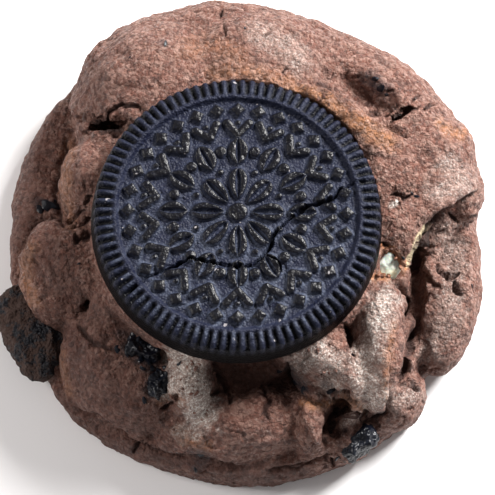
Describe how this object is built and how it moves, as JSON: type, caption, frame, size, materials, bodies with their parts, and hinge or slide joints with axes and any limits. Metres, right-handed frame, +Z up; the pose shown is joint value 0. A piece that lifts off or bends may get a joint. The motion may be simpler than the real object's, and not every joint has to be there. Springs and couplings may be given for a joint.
{
  "type": "cookie",
  "caption": "Thick round chocolate cookie with lumpy dough, a cracked embossed dark biscuit wafer pressed into its top, white filling and broken biscuit pieces.",
  "frame": {"origin": "middle of the base, on the surface that the cookie rests on", "axes": "+Z up through the wafer, +Y towards the back of the cookie, +X to the right as the picture shows it"},
  "size_m": [0.0846, 0.0846, 0.0279],
  "materials": {
    "dough": "baked chocolate dough, matt and crumbly with a fine pale grain",
    "wafer": "black cocoa biscuit, embossed, with a faint dull sheen",
    "filling": "white filling, smooth and soft",
    "biscuit": "broken dark biscuit with dough crumbs baked on"
  },
  "bodies": {
    "root": {"dough": "dough", "wafer": "wafer", "white_filling": "filling", "biscuit_piece_left": "biscuit", "biscuit_piece_front": "biscuit", "biscuit_piece_inner": "biscuit", "biscuit_piece_outer": "biscuit"}
  },
  "joints": []
}
